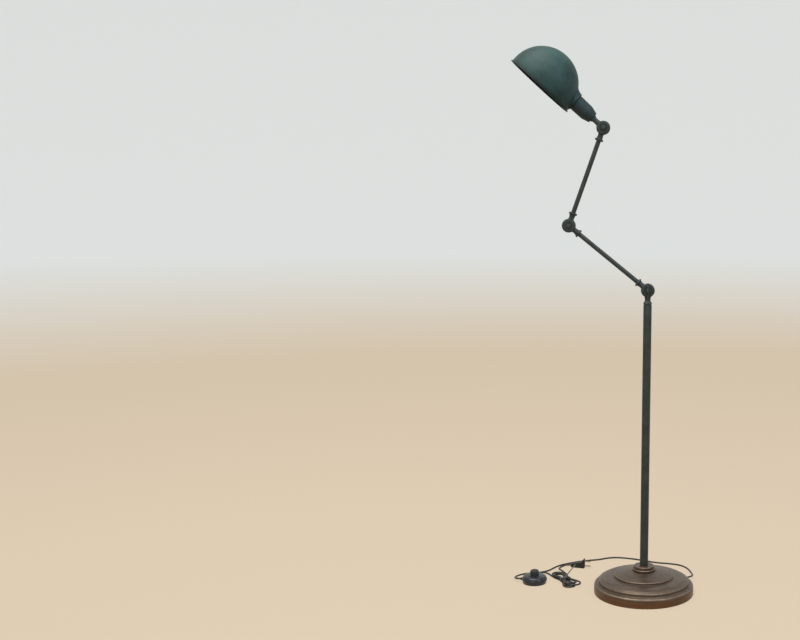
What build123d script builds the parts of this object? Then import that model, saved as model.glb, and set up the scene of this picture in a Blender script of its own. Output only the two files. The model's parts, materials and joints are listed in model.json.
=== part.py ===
from build123d import *
import math
import os

# Adjustable arm floor lamp, in millimetres. The origin is on the floor at the centre of the base, +Z is up,
# the shade faces -X, and the wing nut and thumb knobs are on the -Y side.

# Clearances
slip = 0.05          # radial play of a pin or thread in its hole
seat_gap = 0.1       # play between faces that turn against each other
fit_gap = 0.15       # play of a spigot or sleeve
run_on = 1.0         # how far a cutter passes its face
edge_round = 0.6     # broken edges of turned and moulded pieces

# Base
base_radius = 133.0
cover_wall = 1.5
cover_lift = 0.8
rim_height = 26.5
rim_round = 7.0
least_round = 0.3
ledge_width = 7.5
bead_height = 2.0
bead_round = 1.0
bead_root = 0.4
second_inset = 12.0          # each tier steps in from the one below and rises above it
second_rise = 8.5
second_round = 2.5
second_crown_inset = 15.0
second_crown_rise = 8.5
second_curve = 45.0
second_top_rise = 2.0
third_inset = 40.5
third_rise = 5.5
third_round = 3.0
crown_radius = 33.0
crown_rise = 10.0
crown_round = 6.0
pad_thick = 3.0
weight_play = 1.0
weight_top = 20.0
recess_radius = 20.0
recess_top = 36.0
lead_slot_width = 10.0
lead_slot_top = 16.0

# Pole
pole_radius = 11.0
pole_wall = 1.5
collar_radius = 31.0
collar_step_height = 6.4
collar_neck_radius = 26.8
collar_height = 14.0
collar_round = 2.6
stud_radius = 6.5
stud_bore = 4.2
stud_bottom = 25.0
plug_height = 30.0
nut_flats = 24.0
nut_height = 7.0
washer_radius = 15.0
washer_height = 2.0

# Knuckles
lower_pivot = 813.0
arm_length = 266.0
lower_arm_angle = 141.2      # from +X towards +Z
upper_arm_angle = 70.9
head_angle = 138.2
knuckle_radius = 18.0
knuckle_half_width = 10.5
knuckle_round = 3.0
friction_washer = 0.6
friction_inner = 9.7
friction_margin = 1.5
boss_radius = 6.6
boss_ring_radius = 10.0
boss_ring_depth = 2.0
wire_pocket_inner = 5.2
wire_pocket_outer = 9.5
wire_pocket_depth = 5.0
shoulder_play = 0.8
neck_root = 10.0
neck_waist = 22.0
neck_waist_width = 7.0       # half sizes of the neck's oval
neck_waist_depth = 8.0
neck_root_width = 10.0
neck_root_depth = 8.0
neck_tip_radius = 8.6
collar_ring_radius = 11.0
collar_ring_width = 5.5
collar_ring_centre = 32.6
collar_ring_round = 2.2
spigot_length = 16.0
arm_radius = 6.0
arm_wall = 1.2
bolt_radius = 3.0
bolt_head_radius = 4.3
bolt_head_height = 2.7
cap_neck_radius = 7.3
cap_waist = 24.5
cap_flare_start = 27.5
cap_flare_lean = 0.3
cap_flare_end = 33.0
cap_flare_round = 6.0
cap_flange_proud = 0.3
cap_flange_end = 35.4
cap_groove_depth = 1.0
cap_seat = 38.0
pole_spigot_length = 20.0

# Hand locks
knob_radius = 4.9
knob_length = 12.5
knob_round = 0.9
lock_depth = 9.5
hub_radius = 5.2
hub_tip_radius = 4.4
hub_length = 12.0
wing_span = 40.0
wing_thick = 3.6
wing_inner = 1.8
wing_waist = 8.8
wing_tip = 10.0
wing_tip_cut = 0.6
wing_tip_round = 0.3
wing_root_reach = 10.0
wing_waist_reach = 11.0
wing_inner_curve = 10.0
wing_outer_curve = 12.0
hub_round = 0.8

# Head, along the stem from the top pivot
wire_radius = 2.3
wire_bore = 2.7
wire_bend = 12.0
stem_flange_radius = 9.5
stem_flange_start = 32.4
stem_flange_round = 1.2
stem_neck_radius = 7.6
stem_flange_width = 4.3
cup_mouth_proud = 0.7
cup_wall = 1.5
cup_back_round = 2.0
cup_curve = 14.0
cup_back_radius = 14.7
cup_shoulder_depth = 20.3
cup_shoulder_radius = 20.4
cup_mouth_radius = 21.5
nipple_radius = 5.0
nipple_length = 15.0
socket_nut_flats = 14.0
socket_nut_height = 4.2
holder_back_radius = 11.0
holder_radius = 17.6
holder_floor_depth = 23.3
holder_depth = 28.0
holder_bore = 14.2
holder_round = 1.0
shell_wall = 0.55
contact_radius = 6.0
contact_thick = 1.0
bulb_cap_radius = 13.2
bulb_cap_set = 4.5
bulb_cap_length = 24.0
bulb_tip_radius = 4.5
bulb_cap_round = 1.5
housing_root_radius = 14.0
housing_neck_length = 16.5
housing_neck_radius = 18.2
housing_shoulder_rise = 3.5
housing_shoulder_radius = 21.0
housing_round = 3.0
housing_top_rise = 5.5
globe_start_radius = 22.5
globe_radius = 29.0
globe_wall = 1.0
globe_reach = 58.7

# Shade
shade_drop = 33.5            # rim plane below the stem
shade_radius = 93.5
shade_wall = 1.2
shade_centre = 11.5          # sphere centre above the rim plane
lip_height = 3.8
lip_proud = 2.6
lip_turn = 2.1
lip_slope = 0.6
lip_edge_round = 1.2
lip_root_round = 0.9
neck_radius = 25.0
neck_grip = 9.0
neck_flare = 27.6
flare_sink = 0.3             # the flare's end lies this far under the dome's skin
shade_screw_radius = 1.5
shade_screw_set = 3.3
screw_sink = 0.4

# Mains lead
cord_radius = 2.3
floor_gap = 0.1
arc_share = 0.45             # of a run, taken up by each of its two arcs
exit_angle = 36.0
exit_height = 10.5
gland_flange = 6.5
gland_waist = 5.0
gland_tip = 3.4
gland_length = 18.0
gland_flange_width = 3.0
gland_inner_width = 2.5

# Foot switch
switch_x = -297.0
switch_y = 68.0
switch_radius = 35.0         # at the bulge
switch_base_height = 3.0
switch_wall = 2.2
switch_foot_inset = 3.0
switch_bulge = 9.5
switch_bulge_round = 6.0
switch_shoulder_inset = 4.5
switch_shoulder = 19.2
switch_shoulder_round = 7.0
switch_crown_inset = 11.0
switch_crown_step = 0.8
switch_crown = 21.8
button_radius = 11.6
button_proud = 12.7
button_travel = 3.0
button_flange_width = 1.9
button_flange_height = 2.5
button_round = 2.4
plunger_radius = 5.0
block_length = 30.0
block_width = 20.0
block_height = 9.0
boot_angles = (175.0, 80.0)
boot_height = 9.0
boot_root_radius = 4.6
boot_tip_radius = 3.3
boot_length = 4.0
boot_run = 6.5

# Plug, standing on its narrow edge
plug_x = -200.0
plug_y = 203.0
plug_turn = -13.0
plug_length = 40.0
plug_face_height = 25.4
plug_root_height = 10.0
plug_flare_length = 3.0
plug_flare_height = 17.0
plug_thick = 14.0
plug_root_thick = 10.0
plug_round = 2.4
plug_head = 4.0
plug_edge_round = 1.2
plug_root_round = 2.0
plug_flare_round = 6.0
plug_rest = 0.2
blade_gap = 12.7
blade_length = 17.0
blade_width = 6.3
blade_thick = 1.5
blade_root = 6.0

# Hank of two layers of two loops, tied at its waist
hank_x = -214.0
hank_y = 76.0
hank_turn = -63.4
hank_half = 40.0
hank_tail = 17.2
hank_pitch = 5.6
hank_layer = 5.1
hank_waist = 9.8
hank_draw = 8.0
hank_lift = 1.5
end_run = 13.0               # straight run of a cord where it meets another piece
tie_width = 4.0
tie_thick = 1.0
tie_play = 0.4
tie_round = 2.0
tie_tail = 46.0
tie_tail_angle = 45.0

nodes = {}


def closed_profile(corners):
    """Face in the XZ plane from (radius, height, corner radius) triples."""
    points = [(r, 0, z) for r, z, _ in corners]
    rounds = [c for _, _, c in corners]
    return make_face(FilletPolyline(*points, radius=rounds, close=True))


def turned(corners):
    return revolve(closed_profile(corners), Axis.Z)


def rod(radius, low, high):
    return Pos(0, 0, (low + high) / 2) * Cylinder(radius, high - low)


def tube(outer, inner, low, high):
    return rod(outer, low, high) - rod(inner, low - run_on, high + run_on)


def hexagon(flats, hole, low, high):
    prism = extrude(RegularPolygon(flats / 2, 6, major_radius=False), high - low)
    return Pos(0, 0, low) * prism - rod(hole, low - run_on, high + run_on)


def along_y(shape):
    """Turn a shape built on +Z so that its +Z looks along -Y, the side of the hand locks."""
    return Rot(90, 0, 0) * shape


def aimed(x, z, angle):
    """Location of a piece whose own +Z points at the given angle from +X in the arm plane."""
    return Pos(x, 0, z) * Rot(0, 90 - angle, 0)


def step_along(x, z, angle, length):
    turn = math.radians(angle)
    return x + length * math.cos(turn), z + length * math.sin(turn)


# Base: cover, weight and pad
second_radius = base_radius - second_inset
second_edge = rim_height + second_rise
second_crown_radius = second_radius - second_crown_inset
second_crown = second_edge + second_crown_rise
second_top = second_crown + second_top_rise
third_radius = second_radius - third_inset
third_edge = second_top + third_rise
crown_height = third_edge + crown_rise
cover_corners = [
    (crown_radius, crown_height, crown_round),
    (third_radius, third_edge, third_round),
    (third_radius, second_top, edge_round),
    (second_crown_radius, second_crown, second_curve),
    (second_radius, second_edge, second_round),
    (second_radius, rim_height + bead_height, edge_round),
    (base_radius - ledge_width, rim_height + bead_height, bead_round),
    (base_radius - ledge_width, rim_height, bead_root),
    (base_radius, rim_height, rim_round),
]
inner_corners = [
    (r - cover_wall, z - cover_wall, max(c - cover_wall, least_round)) for r, z, c in cover_corners
]
cover_foot = [(base_radius, cover_lift, 0), (0, cover_lift, 0)]
cover_outside = turned([(0, crown_height, 0), *cover_corners, *cover_foot])
inner_radius = base_radius - cover_wall
crown_under = crown_height - cover_wall
cover_inside = turned([(0, crown_under, 0), *inner_corners, (inner_radius, 0, 0), (0, 0, 0)])
exit_place = Rot(0, 0, exit_angle) * Pos(base_radius, 0, exit_height) * Rot(0, 90, 0)
cover = cover_outside - cover_inside
cover -= rod(stud_radius + fit_gap, crown_under - run_on, crown_height + run_on)
cover -= exit_place * rod(gland_waist + fit_gap, -4 * cover_wall, cover_wall)
nodes["base_cover"] = cover

weight_rim = inner_radius - weight_play
weight_hub = crown_radius - cover_wall - 2 * weight_play
weight = turned([
    (stud_radius + fit_gap, crown_under, 0),
    (weight_hub, crown_under, 0),
    (weight_hub, weight_top, 0),
    (weight_rim, weight_top, 0),
    (weight_rim, pad_thick, 0),
    (recess_radius, pad_thick, 0),
    (recess_radius, recess_top, 0),
    (stud_radius + fit_gap, recess_top, 0),
])
slot_height = lead_slot_top - pad_thick
slot_place = Pos(base_radius / 2, 0, pad_thick + slot_height / 2)
lead_slot = slot_place * Box(base_radius, lead_slot_width, slot_height)
pocket_width = 2 * (gland_flange + weight_play)
pocket_height = exit_height + gland_flange + weight_play - pad_thick
pocket_place = Pos(base_radius, 0, pad_thick + pocket_height / 2)
gland_pocket = pocket_place * Box(4 * gland_flange, pocket_width, pocket_height)
nodes["base_weight"] = weight - Rot(0, 0, exit_angle) * (lead_slot + gland_pocket)
nodes["base_pad"] = rod(weight_rim, 0, pad_thick)

# Foot of the pole, clamped through the base
stud_top = crown_height + plug_height
nodes["base_washer"] = tube(washer_radius, stud_radius + slip, recess_top - washer_height, recess_top)
nut_top = recess_top - washer_height
nodes["base_nut"] = hexagon(nut_flats, stud_radius + slip, nut_top - nut_height, nut_top)
nodes["pole_stud"] = tube(stud_radius, stud_bore, stud_bottom, stud_top)
pole_bore = pole_radius - pole_wall
nodes["pole_plug"] = tube(pole_bore - slip, stud_radius + slip, crown_height, stud_top)
collar_step = crown_height + collar_step_height
collar_top = crown_height + collar_height
nodes["pole_collar"] = turned([
    (pole_radius + slip, crown_height, 0),
    (collar_radius, crown_height, collar_round),
    (collar_radius, collar_step, collar_round),
    (collar_neck_radius, collar_step, 0),
    (collar_neck_radius, collar_top, collar_round),
    (pole_radius + slip, collar_top, 0),
])
pole_top = lower_pivot - cap_seat
nodes["pole_tube"] = tube(pole_radius, pole_bore, crown_height, pole_top)


# Knuckles: every casting is built with its pivot on Y at the origin and its stem along +Z
mating_face = friction_washer / 2 + seat_gap
cup_start = stem_flange_start + stem_flange_width


def knuckle_disc():
    """Half disc of a lap knuckle on the -Y side, with a boss ring outside and a wire pocket inside."""
    outer = knuckle_half_width
    pocket = mating_face + wire_pocket_depth
    return along_y(turned([
        (bolt_radius + slip, mating_face, 0),
        (wire_pocket_inner, mating_face, 0),
        (wire_pocket_inner, pocket, 0),
        (wire_pocket_outer, pocket, 0),
        (wire_pocket_outer, mating_face, 0),
        (knuckle_radius, mating_face, 0),
        (knuckle_radius, outer, knuckle_round),
        (boss_ring_radius, outer, 0),
        (boss_ring_radius, outer - boss_ring_depth, 0),
        (boss_radius, outer - boss_ring_depth, 0),
        (boss_radius, outer, 0),
        (bolt_radius + slip, outer, 0),
    ]))


neck_foot = (neck_root, neck_root_width, neck_root_depth)
neck_middle = (neck_waist, neck_waist_width, neck_waist_depth)


def knuckle_neck(*ovals):
    """Neck from the disc through (height, half width, half depth) ovals, cut back where the other half turns."""
    neck = loft([Pos(0, 0, height) * Ellipse(width, depth) for height, width, depth in (neck_foot, *ovals)])
    reach = 2 * knuckle_half_width
    other_half = along_y(rod(knuckle_radius + shoulder_play, -reach, mating_face))
    own_pocket = along_y(rod(wire_pocket_outer, mating_face, mating_face + wire_pocket_depth))
    own_bolt = along_y(rod(bolt_radius + slip, -reach, reach))
    return neck - other_half - own_pocket - own_bolt


def wire_way(end):
    return rod(wire_bore, wire_pocket_outer - wire_bore, end)


def sided(casting, side):
    """Keep a -Y casting, or turn it half round its stem for the +Y side."""
    return casting if side < 0 else Rot(0, 0, 180) * casting


def arm_casting(side):
    ring_start = collar_ring_centre - collar_ring_width / 2
    ring_end = collar_ring_centre + collar_ring_width / 2
    bore = arm_radius - arm_wall
    ring = turned([
        (0, ring_start, 0),
        (collar_ring_radius, ring_start, collar_ring_round),
        (collar_ring_radius, ring_end, collar_ring_round),
        (0, ring_end, 0),
    ])
    spigot = rod(bore - slip, ring_end, ring_end + spigot_length)
    neck = knuckle_neck(neck_middle, (ring_start, neck_tip_radius, neck_tip_radius))
    casting = knuckle_disc() + neck + ring + spigot
    return sided(casting - wire_way(ring_end + spigot_length + run_on), side)


def pole_casting(side):
    cap_flange_radius = pole_radius + cap_flange_proud
    cap_groove_radius = pole_radius - cap_groove_depth
    cap = turned([
        (0, cap_waist, 0),
        (cap_neck_radius, cap_waist, 0),
        (cap_neck_radius + cap_flare_lean, cap_flare_start, cap_flare_round),
        (cap_flange_radius, cap_flare_end, edge_round),
        (cap_flange_radius, cap_flange_end, edge_round),
        (cap_groove_radius, cap_flange_end, 0),
        (cap_groove_radius, cap_seat, 0),
        (pole_bore - slip, cap_seat, 0),
        (pole_bore - slip, cap_seat + pole_spigot_length, 0),
        (0, cap_seat + pole_spigot_length, 0),
    ])
    casting = knuckle_disc() + knuckle_neck((cap_waist, cap_neck_radius, cap_neck_radius)) + cap
    return sided(casting - wire_way(cap_seat + pole_spigot_length + run_on), side)


def head_casting(side):
    stem = turned([
        (0, stem_flange_start, 0),
        (stem_flange_radius, stem_flange_start, stem_flange_round),
        (stem_flange_radius, cup_start, least_round),
        (nipple_radius, cup_start, 0),
        (nipple_radius, cup_start + nipple_length, 0),
        (0, cup_start + nipple_length, 0),
    ])
    neck = knuckle_neck(neck_middle, (stem_flange_start, stem_neck_radius, stem_neck_radius))
    casting = knuckle_disc() + neck + stem
    return sided(casting - wire_way(cup_start + nipple_length + run_on), side)


def pivot_bolt(length):
    """Domed bolt with its head outside the +Y half and its thread out of the -Y half."""
    face = -knuckle_half_width
    crest = face - bolt_head_height
    dome_radius = (bolt_head_radius ** 2 + bolt_head_height ** 2) / (2 * bolt_head_height)
    half_way = math.asin(bolt_head_radius / dome_radius) / 2
    shoulder = (dome_radius * math.sin(half_way), 0, crest + dome_radius * (1 - math.cos(half_way)))
    head_edge = (bolt_head_radius, 0, face)
    dome = ThreePointArc((0, 0, crest), shoulder, head_edge)
    shank_end = (bolt_radius, 0, length)
    shank = Polyline(head_edge, (bolt_radius, 0, face), shank_end, (0, 0, length), (0, 0, crest))
    return along_y(revolve(make_face(dome + shank), Axis.Z))


lock_face = knuckle_half_width + seat_gap
bolt_end = knuckle_half_width + lock_depth


def thumb_knob():
    knob = turned([
        (0, lock_face, 0),
        (knob_radius, lock_face, knob_round),
        (knob_radius, lock_face + knob_length, knob_round),
        (0, lock_face + knob_length, 0),
    ])
    return along_y(knob - rod(bolt_radius + slip, lock_face - run_on, bolt_end + seat_gap))


def wing_nut():
    """Hub with two wings that sweep outwards to their tips, one above and one below the bolt."""
    hub = turned([
        (0, lock_face, 0),
        (hub_radius, lock_face, hub_round),
        (hub_tip_radius, lock_face + hub_length, hub_round),
        (0, lock_face + hub_length, 0),
    ])
    tip = wing_span / 2
    outline = FilletPolyline(
        (0, 0, lock_face + wing_inner),
        (wing_root_reach, 0, lock_face + wing_inner),
        (tip, 0, lock_face + wing_tip - wing_tip_cut),
        (tip - wing_tip_cut, 0, lock_face + wing_tip),
        (wing_waist_reach, 0, lock_face + wing_waist),
        (0, 0, lock_face + hub_length - run_on),
        radius=[0, wing_inner_curve, wing_tip_round, wing_tip_round, wing_outer_curve, 0],
        close=True,
    )
    wing = extrude(make_face(outline), wing_thick / 2, both=True)
    nut = hub + wing + Rot(0, 0, 180) * wing
    return Rot(0, 90, 0) * along_y(nut - rod(bolt_radius + slip, lock_face - run_on, bolt_end + seat_gap))


def friction_disc():
    friction_outer = knuckle_radius - friction_margin
    return along_y(tube(friction_outer, friction_inner, -friction_washer / 2, friction_washer / 2))


middle_x, middle_z = step_along(0, lower_pivot, lower_arm_angle, arm_length)
top_x, top_z = step_along(middle_x, middle_z, upper_arm_angle, arm_length)
lower_place = Pos(0, 0, lower_pivot)
middle_place = Pos(middle_x, 0, middle_z)
top_place = Pos(top_x, 0, top_z)

nodes["pole_knuckle"] = aimed(0, lower_pivot, -90) * pole_casting(1)
nodes["lower_bolt"] = lower_place * pivot_bolt(bolt_end)
nodes["lower_washer"] = lower_place * friction_disc()
nodes["wing_nut"] = lower_place * wing_nut()

tube_start = collar_ring_centre + collar_ring_width / 2
wire_start = knuckle_radius + 2 * shoulder_play


def arm(name, x, z, angle, side):
    """Tube between two equal castings, with the lead inside."""
    near = aimed(x, z, angle)
    far = aimed(*step_along(x, z, angle, arm_length), angle + 180)
    nodes[name + "_foot"] = near * arm_casting(side)
    sleeve = tube(arm_radius, arm_radius - arm_wall, tube_start, arm_length - tube_start)
    nodes[name + "_tube"] = near * sleeve
    nodes[name + "_tip"] = far * arm_casting(side)
    nodes[name + "_wire"] = near * rod(wire_radius, wire_start, arm_length - wire_start)


arm("lower_arm", 0, lower_pivot, lower_arm_angle, -1)
arm("upper_arm", middle_x, middle_z, upper_arm_angle, 1)
nodes["middle_bolt"] = middle_place * pivot_bolt(bolt_end)
nodes["middle_washer"] = middle_place * friction_disc()
nodes["middle_knob"] = middle_place * thumb_knob()
nodes["top_bolt"] = top_place * pivot_bolt(bolt_end)
nodes["top_washer"] = top_place * friction_disc()
nodes["top_knob"] = top_place * thumb_knob()

# Head: socket cup and what it holds, all on the stem's axis
head = aimed(top_x, top_z, head_angle)
cup_shoulder = cup_start + cup_shoulder_depth
holder_floor = cup_start + holder_floor_depth
holder_mouth = holder_floor + holder_depth
bulb_cap_start = holder_floor + bulb_cap_set
bulb_cap_end = bulb_cap_start + bulb_cap_length
housing_neck = bulb_cap_end + housing_neck_length
cup_end = housing_neck + cup_mouth_proud
housing_shoulder = housing_neck + housing_shoulder_rise
globe_start = housing_shoulder + housing_top_rise
globe_centre = globe_start + globe_reach
nodes["head_knuckle"] = head * head_casting(-1)
nodes["socket_cup"] = head * turned([
    (nipple_radius + slip, cup_start, 0),
    (cup_back_radius, cup_start, cup_back_round),
    (cup_shoulder_radius, cup_shoulder, cup_curve),
    (cup_mouth_radius, cup_end, 0),
    (cup_mouth_radius - cup_wall, cup_end, 0),
    (cup_shoulder_radius - cup_wall, cup_shoulder, cup_curve - cup_wall),
    (cup_back_radius - cup_wall, cup_start + cup_wall, cup_back_round - cup_wall),
    (nipple_radius + slip, cup_start + cup_wall, 0),
])
nut_start = cup_start + cup_wall
holder_back = nut_start + socket_nut_height
nodes["socket_nut"] = head * hexagon(socket_nut_flats, nipple_radius + slip, nut_start, holder_back)
nodes["lampholder"] = head * turned([
    (nipple_radius + slip, holder_back, 0),
    (holder_back_radius, holder_back, holder_round),
    (holder_back_radius, cup_shoulder, 0),
    (holder_radius, cup_shoulder + holder_round, holder_round),
    (holder_radius, holder_mouth, holder_round),
    (holder_bore, holder_mouth, 0),
    (holder_bore, holder_floor, 0),
    (nipple_radius + slip, holder_floor, 0),
])
contact_top = holder_floor + contact_thick
nodes["contact_leaf"] = head * rod(contact_radius, holder_floor, contact_top)
shell_outer = holder_bore - slip
shell_end = holder_mouth - holder_round
nodes["screw_shell"] = head * tube(shell_outer, shell_outer - shell_wall, holder_floor, shell_end)

# Bulb
nodes["bulb_cap"] = head * turned([
    (0, contact_top + slip, 0),
    (bulb_tip_radius, contact_top + slip, 0),
    (bulb_tip_radius, bulb_cap_start, 0),
    (bulb_cap_radius, bulb_cap_start, bulb_cap_round),
    (bulb_cap_radius, bulb_cap_end, 0),
    (0, bulb_cap_end, 0),
])
nodes["bulb_housing"] = head * turned([
    (0, bulb_cap_end, 0),
    (housing_root_radius, bulb_cap_end, edge_round),
    (housing_neck_radius, housing_neck, housing_round),
    (housing_shoulder_radius, housing_shoulder, housing_round),
    (globe_start_radius, globe_start, 0),
    (0, globe_start, 0),
])


def globe_form(radius, start_radius):
    """Straight neck that runs tangent into the round of the globe."""
    rise = globe_centre - globe_start
    span = math.hypot(rise, start_radius)
    lean = math.acos(radius / span) + math.atan2(start_radius, rise)
    touch = (radius * math.sin(lean), 0, globe_centre - radius * math.cos(lean))
    turn = (math.pi - lean) / 2 + lean
    crest = (radius * math.sin(turn), 0, globe_centre - radius * math.cos(turn))
    tip = (0, 0, globe_centre + radius)
    neck = Polyline(tip, (0, 0, globe_start), (start_radius, 0, globe_start), touch)
    return revolve(make_face(neck + ThreePointArc(touch, crest, tip)), Axis.Z)


globe_inside = globe_form(globe_radius - globe_wall, globe_start_radius - globe_wall)
nodes["bulb_globe"] = head * (globe_form(globe_radius, globe_start_radius) - globe_inside)


# Shade: a spun dome with a rolled lip, and a side neck that slips over the cup and flares into the dome
centre_drop = shade_drop - shade_centre
neck_end = cup_end - neck_grip
neck_bore = cup_mouth_radius + fit_gap
flare_near = neck_radius + centre_drop + neck_flare
flare_span = math.sqrt((shade_radius - flare_sink + neck_flare) ** 2 - flare_near ** 2)
shade_reach = neck_end + flare_span


def dome():
    lip_radius = shade_radius + lip_proud
    lip_inner_radius = shade_radius - lip_turn

    def on_sphere(radius, height):
        return math.sqrt(radius ** 2 - (shade_centre - height) ** 2), 0, height

    inner = shade_radius - shade_wall
    diagonal = math.sqrt(0.5)
    outside = ThreePointArc(
        (0, 0, shade_centre + shade_radius),
        (shade_radius * diagonal, 0, shade_centre + shade_radius * diagonal),
        on_sphere(shade_radius, lip_height),
    )
    lip = FilletPolyline(
        on_sphere(shade_radius, lip_height),
        (lip_radius, 0, lip_height - lip_slope),
        (lip_radius, 0, 0),
        (lip_inner_radius, 0, 0),
        on_sphere(inner, lip_height - lip_slope),
        radius=[lip_root_round, lip_edge_round, lip_root_round],
    )
    inside = ThreePointArc(
        on_sphere(inner, lip_height - lip_slope),
        (inner * diagonal, 0, shade_centre + inner * diagonal),
        (0, 0, shade_centre + inner),
    )
    spine = Line((0, 0, shade_centre + inner), (0, 0, shade_centre + shade_radius))
    return revolve(make_face(outside + lip + inside + spine), Axis.Z)


def flared_neck():
    """Short neck whose round flare starts along its mouth and runs into the top of the dome."""
    lean = math.atan2(flare_span, flare_near)

    def on_flare(turn):
        swing = neck_flare * (1 - math.cos(turn))
        return neck_radius + swing, 0, neck_end + neck_flare * math.sin(turn)

    mouth = on_flare(0)
    touch = on_flare(lean)
    inner = Polyline(touch, (neck_bore, 0, touch[2]), (neck_bore, 0, neck_end), mouth)
    return revolve(make_face(ThreePointArc(mouth, on_flare(lean / 2), touch) + inner), Axis.Z)


hollow = Pos(-centre_drop, 0, shade_reach) * Sphere(shade_radius - shade_wall)
shade = Pos(-shade_drop, 0, shade_reach) * Rot(0, 90, 0) * dome() + (flared_neck() - hollow)
shade -= rod(neck_bore, neck_end - run_on, shade_reach)
screw_place = neck_end + shade_screw_set
screw_hole = along_y(rod(shade_screw_radius + slip, -neck_radius - run_on, neck_radius + run_on))
shade -= Pos(0, 0, screw_place) * screw_hole
nodes["shade"] = head * shade
grub = along_y(rod(shade_screw_radius, neck_bore, neck_radius - screw_sink))
grub_pair = [Pos(0, 0, screw_place) * Rot(0, 0, turn) * grub for turn in (0, 180)]
nodes["shade_screws"] = Compound([head * screw for screw in grub_pair])

# Gland, and the lead through the base and up the pole
gland_grip = cover_wall + 2 * fit_gap
nodes["cord_gland"] = exit_place * turned([
    (cord_radius + slip, -gland_grip - gland_inner_width, 0),
    (gland_flange, -gland_grip - gland_inner_width, edge_round),
    (gland_flange, -gland_grip, 0),
    (gland_waist, -gland_grip, 0),
    (gland_waist, slip, 0),
    (gland_flange, slip, 0),
    (gland_flange, gland_flange_width, edge_round),
    (gland_tip, gland_length, least_round),
    (cord_radius + slip, gland_length, 0),
])
exit_turn = math.radians(exit_angle)
exit_way = Vector(math.cos(exit_turn), math.sin(exit_turn), 0)
gland_end = exit_way * (base_radius + gland_length) + Vector(0, 0, exit_height)
wire_top = lower_pivot - wire_start


def swept(path, radius):
    start = Plane(origin=path @ 0, z_dir=path % 0)
    return sweep(start * Circle(radius), path=path)


riser = FilletPolyline(gland_end, (0, 0, exit_height), (0, 0, wire_top), radius=[wire_bend])
nodes["pole_wire"] = swept(riser, wire_radius)

# Foot switch
switch_place = Pos(switch_x, switch_y, 0)
button_hole = button_radius + 2 * fit_gap
button_flange = button_radius + button_flange_width
button_top = switch_crown + button_proud
switch_shoulder_radius = switch_radius - switch_shoulder_inset
switch_crown_radius = switch_shoulder_radius - switch_crown_inset
cover_under = switch_crown - switch_wall
switch_foot_radius = switch_radius - switch_foot_inset
nodes["switch_base"] = switch_place * rod(switch_foot_radius, 0, switch_base_height)
crown_root = switch_crown - switch_crown_step
switch_shell = turned([
    (button_hole, switch_crown, edge_round),
    (switch_crown_radius, switch_crown, least_round),
    (switch_crown_radius, crown_root, least_round),
    (switch_shoulder_radius, switch_shoulder, switch_shoulder_round),
    (switch_radius, switch_bulge, switch_bulge_round),
    (switch_foot_radius, switch_base_height, 0),
    (switch_foot_radius - switch_wall, switch_base_height, 0),
    (switch_radius - switch_wall, switch_bulge, switch_bulge_round - switch_wall),
    (switch_shoulder_radius - switch_wall, switch_shoulder - switch_wall, switch_shoulder_round - switch_wall),
    (switch_crown_radius - switch_wall / 2, cover_under, edge_round),
    (button_hole, cover_under, 0),
])
block_top = switch_base_height + block_height
block = Pos(0, 0, switch_base_height + block_height / 2) * Box(block_length, block_width, block_height)
nodes["switch_block"] = switch_place * block
flange_top = cover_under - seat_gap
plunger_end = block_top + button_travel + seat_gap
nodes["switch_button"] = switch_place * turned([
    (0, plunger_end, 0),
    (plunger_radius, plunger_end, edge_round),
    (plunger_radius, flange_top - button_flange_height, 0),
    (button_flange, flange_top - button_flange_height, 0),
    (button_flange, flange_top, 0),
    (button_radius, flange_top, 0),
    (button_radius, button_top, button_round),
    (0, button_top, 0),
])
boot_root = switch_radius - 2 * switch_wall
boot = turned([
    (0, boot_root, 0),
    (boot_root_radius, boot_root, 0),
    (boot_tip_radius, switch_radius + boot_length, least_round),
    (0, switch_radius + boot_length, 0),
])
boots = []
for angle in boot_angles:
    aim = Rot(0, 0, angle) * Pos(0, 0, boot_height) * Rot(0, 90, 0)
    boots.append(switch_place * aim * boot)
    switch_shell -= aim * rod(boot_root_radius + fit_gap, boot_root - switch_wall, switch_radius + run_on)
nodes["switch_cover"] = switch_place * switch_shell
nodes["switch_boots"] = Compound(boots)


def boot_axis(angle, beyond):
    """Point on a boot's axis, so far beyond its tip."""
    turn = math.radians(angle)
    reach = switch_radius + boot_length + beyond
    return Vector(switch_x + reach * math.cos(turn), switch_y + reach * math.sin(turn), boot_height)


# Plug and its two flat blades
plug_place = Pos(plug_x, plug_y, plug_rest) * Rot(0, 0, plug_turn)
plug_shoulder = plug_length - plug_head
plug_outline = FilletPolyline(
    (0, 0, 0),
    (plug_length, 0, 0),
    (plug_length, 0, plug_face_height),
    (plug_shoulder, 0, plug_face_height),
    (plug_shoulder - plug_flare_length, 0, plug_flare_height),
    (0, 0, plug_root_height),
    radius=[plug_root_round, *(3 * [plug_edge_round]), plug_flare_round, plug_root_round],
    close=True,
)
plug_plan = FilletPolyline(
    (0, -plug_root_thick / 2),
    (plug_length, -plug_thick / 2),
    (plug_length, plug_thick / 2),
    (0, plug_root_thick / 2),
    radius=plug_round,
    close=True,
)
plug_body = extrude(make_face(plug_outline), plug_thick, both=True)
plug_body &= extrude(make_face(plug_plan), plug_face_height)
blade_mid = plug_face_height / 2
blades = []
for side in (-1, 1):
    centre_x = plug_length + (blade_length - blade_root) / 2
    blade = Box(blade_length + blade_root, blade_width, blade_thick)
    blades.append(Pos(centre_x, 0, blade_mid + side * blade_gap / 2) * blade)
for blade in blades:
    plug_body -= blade
nodes["plug_body"] = plug_place * plug_body
nodes["plug_blades"] = Compound([plug_place * blade for blade in blades])
plug_root = (plug_place * Pos(0, 0, plug_root_height / 2)).position
plug_way = (plug_place * Pos(1, 0, plug_root_height / 2)).position - plug_root


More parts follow.
